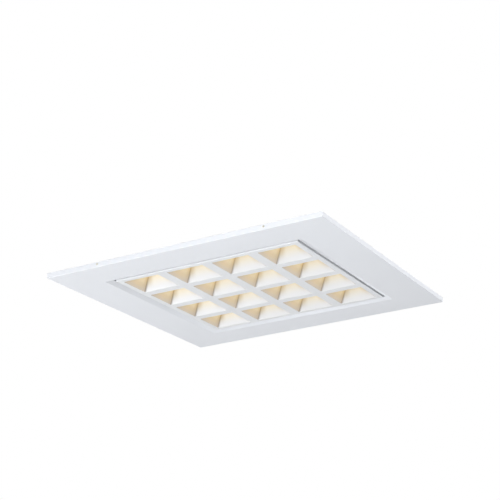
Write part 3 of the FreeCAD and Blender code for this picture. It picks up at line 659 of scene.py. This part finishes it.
def as_data(mesh, name="shape"):
    """The data of a bmesh, which is freed."""
    data = bpy.data.meshes.new(name)
    mesh.to_mesh(data)
    mesh.free()
    return data


def standing(place, up):
    """Stands a shape made along Z at a place, along another way."""
    return Matrix.Translation(place) @ Vector(up).to_track_quat("Z", "X").to_matrix().to_4x4()


def add_copy(mesh, data, turn):
    """A copy of a shape, turned and shifted."""
    copy = data.copy()
    copy.transform(turn)
    mesh.from_mesh(copy)
    bpy.data.meshes.remove(copy)


def threads(radius, low, high, pitch=0.5):
    """Stations of a rolled thread between two heights."""
    count = max(1, round(abs(high - low) / pitch))
    step = (high - low) / count
    root = radius * THREAD_ROOT
    return [(size, low + step * (turn + part)) for turn in range(count)
            for size, part in ((root, 0.0), (radius, 0.3), (radius, 0.6))] + [(root, high)]


def screw_stations(head, height, radius, length):
    """A cross-head screw that stands on its tip: its seat is level 0 and its head above it."""
    return [(radius * 0.55, -length), *threads(radius, 0.3 - length, -0.2), (radius, 0.0),
            (head * 0.93, 0.0), (head, height * 0.14), (head, height * 0.40),
            (head * 0.93, height * 0.70), (head * 0.76, height * 0.92), (head * 0.60, height),
            ("cross", head * 0.52, height), ("cross", head * 0.46, height * 0.78),
            ("cross", head * 0.22, height * 0.40)]


def nut_stations(across, bore, height):
    """A chamfered nut with a threaded bore, closed in a ring."""
    chamfer = 0.35
    return [("nut_end", across, 0.0), ("hexagon", across, height * 0.16),
            ("hexagon", across, height * 0.84), ("nut_end", across, height),
            (bore + chamfer, height), *threads(bore + 0.12, height * 0.85, height * 0.15),
            (bore + chamfer, 0.0)]


def mirrored(rows, length):
    """Stations of one end and, turned about, of the other end at a length."""
    return rows + [(radius, length - height) for radius, height in reversed(rows)]


def add_object(name, data):
    """A new object in the scene."""
    made = bpy.data.objects.new(name, data)
    bpy.context.scene.collection.objects.link(made)
    return made


def piece(name, mesh, material, slot, *nodes, body="housing"):
    """A bmesh as a finished object that rides on a body and stands for CAD nodes."""
    data = as_data(mesh, name)
    data.materials.append(material)
    data.shade_smooth()
    data.set_sharp_from_angle(angle=CREASE)
    made = add_object(name, data)
    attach(made, body)
    if nodes:
        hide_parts(*nodes)


def scatter(name, data, node, material, slot, lift=0.0, up=None, body="housing"):
    """A piece of copies of a shape, lift millimetres above the foot of each solid of a node."""
    mesh = bmesh.new()
    for low, high in parts_of(node):
        place = (low + high) / 2
        place.z = low.z + lift * MM
        add_copy(mesh, data, standing(place, up) if up else Matrix.Translation(place))
    piece(name, mesh, material, slot, node, body=body)


def softened(node, material, slot, width, body="housing", extra=None):
    """A CAD node's shape with its edges rounded, in place of the node, and details added."""
    mesh = bmesh.new()
    mesh.from_mesh(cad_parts[node].data)
    bmesh.ops.remove_doubles(mesh, verts=mesh.verts, dist=0.002 * MM)
    bmesh.ops.dissolve_limit(mesh, angle_limit=math.radians(1), verts=mesh.verts,
                             edges=mesh.edges)
    edges = [edge for edge in mesh.edges if edge.calc_face_angle(0.0) > math.radians(30)]
    bmesh.ops.bevel(mesh, geom=edges, offset=width, segments=2, profile=0.5,
                    affect="EDGES", material=-1, clamp_overlap=True)
    bmesh.ops.triangulate(mesh, faces=[face for face in mesh.faces if len(face.verts) > 4])
    if extra:
        extra(mesh)
    piece(node + "_dressed", mesh, material, slot, node, body=body)


def paint(material, *nodes):
    """Gives a finish to CAD nodes."""
    for name in nodes:
        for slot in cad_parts[name].material_slots:
            slot.material = material


# Operators

class TROFFER_OT_stage(bpy.types.Operator):
    """Sets the camera at the photograph's viewpoint, the floor, the lamps and the world"""

    bl_idname = "troffer.stage"
    bl_label = "Stage"

    def execute(self, context):
        studio = context.scene.troffer_studio
        place_camera(studio)
        lay_floor(studio)
        light_world(studio)
        hang_lamps(studio)
        context.scene.view_settings.view_transform = "Standard"
        return {"FINISHED"}


FLOOR_REACH = 9.0     # half the floor's width, in metres
# The soft boxes round the light: place, width and height, in metres
LAMPS = {"key": ((0.8, -2.3, -0.9), 1.2, 0.8), "near": ((-1.5, -2.0, -0.9), 1.2, 0.8),
         "left": ((-1.8, -0.5, -1.1), 0.8, 0.8), "side": ((2.4, 0.3, 0.7), 1.2, 0.8),
         "rim": ((0.3, -2.4, 0.7), 1.2, 0.8), "top": ((-0.8, 1.0, 2.6), 3.4, 3.4)}


def place_camera(studio):
    """The camera, turned so that the photograph's right and up are its own."""
    data = bpy.data.cameras.new("photo_camera")
    data.sensor_width = 36.0
    data.lens = studio.focal_length
    camera = add_object("photo_camera", data)
    right = Vector(studio.camera_right).normalized()
    back = right.cross(Vector(studio.camera_up)).normalized()
    up = back.cross(right)
    turn = Matrix((right, up, back)).transposed().to_4x4()
    camera.matrix_world = Matrix.Translation(studio.camera_place) @ turn
    bpy.context.scene.camera = camera


def seen_directly(finish):
    """1 for rays from the camera, in gloss or through glass, which show the background."""
    camera, gloss, glass = (finish.add("LightPath", output="Is %s Ray" % kind)
                            for kind in ("Camera", "Glossy", "Transmission"))
    return camera.larger_of(gloss).larger_of(glass)


def lay_floor(studio):
    """A wide pale floor, white far out and see-through from underneath."""
    mesh = bmesh.new()
    bmesh.ops.create_grid(mesh, x_segments=1, y_segments=1, size=FLOOR_REACH)
    bmesh.ops.translate(mesh, verts=mesh.verts, vec=(0, 0, -studio.floor_drop))
    floor = add_object("studio_floor", as_data(mesh, "studio_floor"))
    finish = Finish("studio_floor_white")
    clouds = finish.noise(600, 2.0)
    x, y, _ = finish.axes()
    far = ((x * x + y * y) ** 0.5).between(1.5, 7.5)
    matt = finish.add("BsdfDiffuse", {
        "Color": finish.mix(clouds, (0.90, 0.90, 0.90), (0.87, 0.87, 0.87))})
    pale = finish.add("Emission", {
        "Color": finish.mix(far, (0.94, 0.94, 0.94), (1.0, 1.0, 1.0)), "Strength": 1.0})
    shown = seen_directly(finish) * (0.86 + far * 0.14)
    seen = finish.add("MixShader", {0: shown, 1: matt, 2: pale})
    back = finish.add("NewGeometry", output="Backfacing")
    shader = finish.add("MixShader", {0: back, 1: seen, 2: finish.add("BsdfTransparent")})
    finish.add("OutputMaterial", {"Surface": shader})
    floor.data.materials.append(finish.made)


def light_world(studio):
    """A world that looks white to the camera and lights evenly."""
    finish = Finish("studio_world", "worlds")
    white = (1.0, 1.0, 1.0)
    even = finish.add("Background", {"Color": white, "Strength": studio.world_strength})
    bright = finish.add("Background", {"Color": white})
    shader = finish.add("MixShader", {0: seen_directly(finish), 1: even, 2: bright})
    finish.add("OutputWorld", {"Surface": shader})
    bpy.context.scene.world = finish.made


def hang_lamps(studio):
    """The soft boxes, which face the middle of the light."""
    for name, (place, width, height) in LAMPS.items():
        data = bpy.data.lights.new(name + "_lamp", "AREA")
        data.shape = "RECTANGLE"
        data.size, data.size_y = width, height
        data.energy = getattr(studio, name + "_power")
        lamp = add_object(data.name, data)
        lamp.location = place
        lamp.rotation_euler = (-Vector(place)).to_track_quat("-Z", "Y").to_euler()
        lamp.visible_camera = False


class TROFFER_OT_sheet_metal(bpy.types.Operator):
    """Coats the bezel, the pan and the seat, and softens the edges of the small steel parts"""

    bl_idname = "troffer.sheet_metal"
    bl_label = "Sheet metal"

    def execute(self, context):
        colours = context.scene.troffer_finishes
        fittings = context.scene.troffer_fittings
        edge = fittings.sheet_edge
        coat = powder_coat("bezel_powder_coat", colours.bezel_white)
        paint(coat, "bezel_frame", "rear_housing", "seat_frame")
        paint(powder_coat("louvre_powder_coat", colours.louvre_white, 0.38), "louvre_face")
        steel = galvanised(colours.steel)
        paint(steel, "gear_box", "gear_box_lid")
        for node in ("corner_gussets", "diffuser_rails", "hinge_brackets", "suspension_lugs"):
            softened(node, steel, "zinc_steel", edge)
        softened("strike_plates", steel, "zinc_steel", edge, "louvre")
        for count in range(1, 5):
            softened("tie_tab_%d" % count, steel, "zinc_steel", edge, "tie_tab_body_%d" % count)
        line_opening(coat, fittings)
        press_beads(coat, fittings)
        press_lid(steel, fittings)
        return {"FINISHED"}


def line_opening(coat, fittings):
    """The shallow bevel that leads from the bezel's face to the louvre, with a rolled edge."""
    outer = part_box("seat_frame")[1].x / MM - SHEET + 0.5
    inner = (louvre_high.x + fittings.louvre_gap) / MM
    foot = 0.3
    top = foot + (outer - inner) * math.tan(math.radians(fittings.bevel_slope))
    sheet = shape([("square", outer, foot), ("square", inner + 0.25, top - 0.1),
                   ("square", inner, top + 0.15), ("square", inner, top + SHEET * 0.8),
                   ("square", inner + 0.3, top + SHEET), ("square", outer, foot + SHEET)],
                  8, bored=True)
    mesh = bmesh.new()
    mesh.from_mesh(sheet)
    piece("opening_bevel", mesh, coat, "white_steel")


def press_beads(coat, fittings):
    """Raised stiffening beads on the back of the pan, clear of the lugs and the gear box."""
    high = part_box("rear_housing")[1]
    rise, sunk, margin, pitch = fittings.bead_height / MM, 0.4, 24, 22 * MM
    size = ((high.x / MM - margin) * 1.4, fittings.bead_width / MM, rise + sunk)
    mesh = bmesh.new()
    for side in (-1, 1):
        for row in (1, 2, 3):
            y = side * (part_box("gear_box")[1].y + row * pitch)
            block(mesh, (0, y, high.z + (rise - sunk) / 2 * MM), size, rise * 0.98, 3)
    piece("pan_beads", mesh, coat, "white_steel")


def press_lid(steel, fittings):
    """The pressed frame and the two vents of the gear box lid."""
    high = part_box("gear_box_lid")[1]
    box_low, box_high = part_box("gear_box")
    rise, sunk, margin = fittings.bead_height * 0.6 / MM, 0.3, 16
    width = fittings.bead_width * 0.7 / MM
    half_x = high.x / MM - margin
    half_y = (box_high.y - box_low.y) / 2 / MM - margin
    vent_place, vent_pitch, slots = 52, 7, 6
    mesh = bmesh.new()

    def press(x, y, length_x, length_y):
        block(mesh, (x * MM, y * MM, high.z + (rise - sunk) / 2 * MM),
              (length_x, length_y, rise + sunk), rise * 0.95, 3)
    for side in (-1, 1):
        press(0, side * half_y, 2 * half_x, width)
        press(side * half_x, 0, width, 2 * half_y)
        for row in range(slots):
            press(side * vent_place + (row - (slots - 1) / 2) * vent_pitch, 0, 2.8, 36)
    piece("lid_pressing", mesh, steel, "zinc_steel", body="lid")


class TROFFER_OT_fasteners(bpy.types.Operator):
    """Makes the studs, nuts, screws and rivets, with threads, chamfers and drives"""

    bl_idname = "troffer.fasteners"
    bl_label = "Fasteners"

    def execute(self, context):
        sides = context.scene.troffer_fittings.round_steps
        zinc = bright_zinc("bright_zinc", context.scene.troffer_finishes.zinc)
        make_studs(zinc, sides)
        make_screws(zinc, sides)
        make_rivets(zinc, sides)
        paint(zinc, "lid_hinge_pin", "hinge_pins")
        return {"FINISHED"}


def make_studs(zinc, sides):
    """Threaded weld studs with a chamfered end, and their nuts."""
    size = solid_size("frame_studs")
    radius = size.x / 2
    stud = shape([(radius, 0), (radius, 0.6), *threads(radius, 0.8, size.z - 0.5),
                  (radius * 0.6, size.z)], sides)
    scatter("studs_threaded", stud, "frame_studs", zinc, "zinc_fastener")
    size = solid_size("frame_nuts")
    nut = shape(nut_stations(min(size.x, size.y), radius, size.z), sides, bored=True)
    scatter("nuts_chamfered", nut, "frame_nuts", zinc, "zinc_fastener")


def make_screws(zinc, sides):
    """Cross-head screws of the boards and the gear box, and the knurled lid screw."""
    head = 1.6     # height of each head
    for name, node, way in (("board_screws_cross", "board_screws", -1),
                            ("box_screws_cross", "gear_box_screws", 1)):
        size = solid_size(node)
        screw = shape(screw_stations(size.x / 2, head, 1.4, size.z - head), sides)
        seat = size.z - head if way > 0 else head
        scatter(name, screw, node, zinc, "zinc_fastener", seat, (0, 0, way))
    tall = solid_size("lid_screw").z
    seat = tall - head
    screw = shape([(0.9, 0), *threads(1.5, 0.5, seat - 1.2), (1.5, seat), ("ribbed", 3.3, seat),
                   ("ribbed", 3.5, seat + head * 0.15), ("ribbed", 3.5, seat + head * 0.65),
                   (3.2, seat + head * 0.90), (2.9, tall), ("slot", 2.8, tall),
                   ("slot", 2.75, tall - head / 2)], 2 * sides)
    scatter("lid_screw_knurled", screw, "lid_screw", zinc, "zinc_fastener", body="lid")


def make_rivets(zinc, sides):
    """Domed rivets of the seat, and the hollow rivets that the tabs turn on."""
    mesh = bmesh.new()
    for low, high in parts_of("seat_rivets"):
        size = (high - low) / MM
        axis = 0 if size.x < size.y else 1
        length, radius, head = size[axis], size.z / 2, 1.2
        rivet = shape([(1.35, 0), (1.6, 0.3), (1.6, length - head), (radius, length - head),
                       (radius, length - head * 0.8), (radius * 0.86, length - head * 0.35),
                       (radius * 0.58, length - head * 0.08), (radius * 0.30, length),
                       (radius * 0.26, length - head * 0.45)], sides)
        add_copy(mesh, rivet, outward(low, high, axis))
    piece("seat_rivets_domed", mesh, zinc, "zinc_fastener", "seat_rivets")
    mesh = bmesh.new()
    for low, high in parts_of("tab_rivets"):
        eyelet = shape(mirrored([(1.7, 0.4), (2.2, 0.36), (2.4, 0.2), (2.2, 0.02), (1.5, 0),
                                 (1.1, 0.15), (1.0, 0.6)], (high.y - low.y) / MM),
                       sides, bored=True)
        add_copy(mesh, eyelet, outward(low, high, 1))
    piece("tab_eyelets", mesh, zinc, "zinc_fastener", "tab_rivets")


def outward(low, high, axis):
    """Stands a shape in a box, with its top away from the light's middle."""
    middle = (low + high) / 2
    way = Vector((0, 0, 0))
    way[axis] = math.copysign(1, middle[axis])
    return standing(middle - way * (high[axis] - low[axis]) / 2, way)


class TROFFER_OT_reflectors(bpy.types.Operator):
    """Gives the reflector cups their satin white, with painted warm glow, painted shade and a
    painted glow that they give off
    """

    bl_idname = "troffer.reflectors"
    bl_label = "Reflector cups"

    def execute(self, context):
        colours = context.scene.troffer_finishes
        paint(reflector_with_painted_light(colours), *nodes_named("reflector_cup"))
        return {"FINISHED"}


class TROFFER_OT_light_engine(bpy.types.Operator):
    """Finishes the opal sheet and the light boards, and makes the chips and connectors"""

    bl_idname = "troffer.light_engine"
    bl_label = "Light engine"

    def execute(self, context):
        colours = context.scene.troffer_finishes
        paint(opal_finish(colours.glow, colours.glow_strength), "diffuser_sheet")
        paint(board_finish(colours.board), *nodes_named("led_board"))
        white = moulded("connector_white", (0.80, 0.79, 0.74), 0.4)
        make_chips(white, chip_finish(colours.phosphor, colours.glow))
        make_connectors(white)
        paint(moulded("jumper_jacket", (0.72, 0.10, 0.06), 0.42), "board_jumpers")
        return {"FINISHED"}


def make_chips(white, lens):
    """Moulded chip packages with a dished window, and the phosphor lens in each."""
    size = solid_size("led_chips")
    mesh = bmesh.new()
    block(mesh, (0, 0, 0), size, 0.12, 1)
    face = min(mesh.faces, key=lambda item: item.calc_center_median().z)
    bmesh.ops.inset_region(mesh, faces=[face], thickness=0.30 * MM)
    bmesh.ops.inset_region(mesh, faces=[face], thickness=0.22 * MM, depth=-0.28 * MM)
    package = as_data(mesh)
    dome = shape([(0.20, -0.30), (0.60, -0.26), (0.90, -0.16), (1.0, 0), (0.9, 0.12)], 16)
    dome.transform(Matrix.Translation((0, 0, (0.24 - size.z / 2) * MM))
                   @ Matrix.Diagonal((1.25, 0.88, 1.0, 1.0)))
    for name, data, material, slot in (("chip_packages", package, white, "connector_white"),
                                       ("chip_lenses", dome, lens, "chip_yellow")):
        mesh = bmesh.new()
        for low, high in parts_of("led_chips"):
            add_copy(mesh, data, Matrix.Translation((low + high) / 2))
        piece(name, mesh, material, slot, "led_chips")


def make_connectors(white):
    """Plug housings with a latch and two ribs."""
    mesh = bmesh.new()
    for low, high in parts_of("board_connectors"):
        middle, size = (low + high) / 2, (high - low) / MM
        block(mesh, middle, size, 0.5)
        block(mesh, (middle.x, middle.y - 1.1 * MM, low.z - 0.05 * MM), (3.2, 4.6, 0.9), 0.2)
        for side in (-1, 1):
            block(mesh, (middle.x + side * 3.6 * MM, middle.y, low.z - 0.025 * MM),
                  (1.0, size.y - 1.6, 0.65), 0.15)
    piece("connector_plugs", mesh, white, "connector_white", "board_connectors")


class TROFFER_OT_gear(bpy.types.Operator):
    """Makes the driver, the terminal block, the inlet and the earth stud, and their leads"""

    bl_idname = "troffer.gear"
    bl_label = "Gear"

    def execute(self, context):
        colours = context.scene.troffer_finishes
        fittings = context.scene.troffer_fittings
        sides, edge = fittings.round_steps, fittings.edge_round
        zinc = bright_zinc("gear_zinc", colours.zinc)
        softened("driver_case", extruded(colours.driver), "driver_body", edge)
        make_end_caps(moulded("black_plastic", colours.black), zinc, sides)
        grey = moulded("grey_plastic", colours.grey)
        make_terminals(grey, moulded("lever_orange", colours.orange, 0.34), sides, edge)
        make_inlet(grey, sides)
        make_grommet(rubber("black_rubber"), sides)
        paint(lead_colours(), "input_leads")
        paint(moulded("lead_jacket", (0.70, 0.69, 0.66), 0.42), "output_lead")
        make_earth(turned_brass(), sides)
        softened("magnet_catches", magnet_finish(), "magnet_dark", edge)
        return {"FINISHED"}


def make_end_caps(black, zinc, sides):
    """Driver end caps with rounded edges, three grip ribs and two screws each."""
    caps, screws = bmesh.new(), bmesh.new()
    screw = shape(screw_stations(1.9, 0.9, 0.9, 1.0), sides)
    for low, high in parts_of("driver_end_caps"):
        x, y, _ = middle = (low + high) / 2
        block(caps, middle, (high - low) / MM, 1.0, 3)
        for row in (-1, 1):
            place = (x, y + row * 15.5 * MM, high.z)
            add_copy(screws, screw, standing(place, (0, 0, 1)))
        for row in (-1, 0, 1):
            block(caps, (x + row * 3 * MM, y, high.z + 0.1 * MM), (1.2, 18, 0.6), 0.25)
    piece("driver_caps_moulded", caps, black, "driver_cap", "driver_end_caps")
    piece("driver_cap_screws", screws, zinc, "zinc_fastener")


def make_terminals(grey, orange, sides, edge):
    """The terminal block with a funnel at each wire port, and its grip-ribbed levers."""
    low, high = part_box("terminal_block")
    levers = nodes_named("terminal_lever")
    funnel = shape([(3.0, 0), (3.0, 0.7), (2.7, 0.9), (2.4, 0.9), (1.75, 0.1), (1.75, -0.4),
                    (2.4, -0.4)], sides, bored=True)

    def funnels(mesh):
        for name in levers:
            place = (middle_of(name).x, low.y, low.z + (high.z - low.z) / 3)
            add_copy(mesh, funnel, standing(place, (0, -1, 0)))
    softened("terminal_block", grey, "terminal_grey", edge, extra=funnels)
    for count, name in enumerate(levers, 1):
        (left, near, _), (right, _, top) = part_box(name)

        def ribs(mesh):
            for row in range(4):
                block(mesh, ((left + right) / 2, near + (1.2 + row * 1.3) * MM, top - 0.4 * MM),
                      ((right - left) / MM - 2.6, 0.6, 0.7), 0.12)
        softened(name, orange, "lever_orange", edge, "lever_body_%d" % count, ribs)


def make_inlet(grey, sides):
    """The cable gland: hexagon base, ribbed dome nut, thread and locknut, and its seal."""
    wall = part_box("gear_box")[0].x
    _, y, z = middle_of("inlet_gland")
    reach = (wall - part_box("inlet_gland")[0].x) / MM
    across, thread, bore = 16, 6.0, 4.5
    turn = standing((wall, y, z), (-1, 0, 0))
    body = shape([("nut_end", across, 0), ("hexagon", across, 0.6), ("hexagon", across, 3.8),
                  ("nut_end", across, 4.4), (6.9, 4.4), (6.9, 5.0), ("ribbed", 7.6, 5.2),
                  ("ribbed", 7.6, reach - 2.4), (6.9, reach - 1.2), (6.0, reach - 0.3),
                  (5.3, reach), (5.1, reach - 1.5), (5.1, 1.0), (bore, 0.5), (bore, -8.0),
                  (5.5, -8.0), *threads(thread, -7.6, -0.2, 1.2), (thread, 0)],
                 3 * sides, bored=True)
    nut = shape(nut_stations(across, thread, 3.0), 2 * sides, bored=True)
    mesh = bmesh.new()
    add_copy(mesh, body, turn)
    add_copy(mesh, nut, standing((wall + SHEET * MM, y, z), (1, 0, 0)))
    piece("gland_moulded", mesh, grey, "gland_grey", "inlet_gland")
    seal = shape([(5.05, 2.0), (5.05, reach - 1.4), (4.8, reach - 0.9), (bore, reach - 1.0),
                  (bore, 2.0)], sides, bored=True)
    mesh = bmesh.new()
    add_copy(mesh, seal, turn)
    piece("gland_seal", mesh, rubber("seal_rubber"), "rubber_black")


def make_grommet(black, sides):
    """The grommet's two rounded flanges and its neck."""
    size = solid_size("lead_grommet")
    outer, lip = size.x / 2, 0.9
    grommet = shape(mirrored([(1.5, 0.3), (1.9, 0), (outer - 0.5, 0), (outer, 0.35),
                              (outer, lip), (outer - 1.6, lip)], size.z), 2 * sides, bored=True)
    scatter("grommet_moulded", grommet, "lead_grommet", black, "rubber_black")


def make_earth(brass, sides):
    """The threaded earth stud with its seat, nut and toothed washer."""
    (low, high), (nut_low, nut_high) = sorted(parts_of("earth_post"), key=lambda box: box[0].z)
    x, y, _ = (low + high) / 2
    tall = (high.z - low.z) / MM
    stud = shape([("hexagon", 7.6, 0), ("hexagon", 7.6, 0.6), ("nut_end", 7.6, 0.8), (2.0, 0.8),
                  *threads(2.0, 1.2, tall - 0.5, 0.7), (1.2, tall)], 2 * sides)
    nut = shape(nut_stations(8, 2.0, (nut_high.z - nut_low.z) / MM), 2 * sides, bored=True)
    washer = shape([("ribbed", 4.1, 0), ("ribbed", 4.1, 0.35), (2.15, 0.35), (2.15, 0)],
                   4 * sides, bored=True)
    mesh = bmesh.new()
    for data, z in ((stud, low.z), (nut, nut_low.z), (washer, nut_high.z)):
        add_copy(mesh, data, Matrix.Translation((x, y, z)))
    piece("earth_stud_turned", mesh, brass, "earth_brass", "earth_post")


class TROFFER_PT_panel(bpy.types.Panel):
    """Lists the settings and the steps"""

    bl_idname = "TROFFER_PT_panel"
    bl_label = "Troffer light"
    bl_space_type = "VIEW_3D"
    bl_region_type = "UI"
    bl_category = "Troffer"

    def draw(self, context):
        for group in GROUPS:
            settings = getattr(context.scene, group)
            box = self.layout.box()
            for name in settings.__annotations__:
                box.prop(settings, name)
        for operator in OPERATORS:
            self.layout.operator(operator.bl_idname)


OPERATORS = (TROFFER_OT_stage, TROFFER_OT_sheet_metal, TROFFER_OT_fasteners,
             TROFFER_OT_reflectors, TROFFER_OT_light_engine, TROFFER_OT_gear)
GROUPS = {"troffer_finishes": TrofferFinishes, "troffer_fittings": TrofferFittings,
          "troffer_studio": TrofferStudio}
CLASSES = (*GROUPS.values(), *OPERATORS, TROFFER_PT_panel)


def register():
    for item in CLASSES:
        bpy.utils.register_class(item)
    for name, group in GROUPS.items():
        setattr(bpy.types.Scene, name, PointerProperty(type=group))


def unregister():
    for name in GROUPS:
        delattr(bpy.types.Scene, name)
    for item in reversed(CLASSES):
        bpy.utils.unregister_class(item)


def main():
    register()
    for operator in OPERATORS:
        group, name = operator.bl_idname.split(".")
        getattr(getattr(bpy.ops, group), name)()


if __name__ == "__main__":
    main()
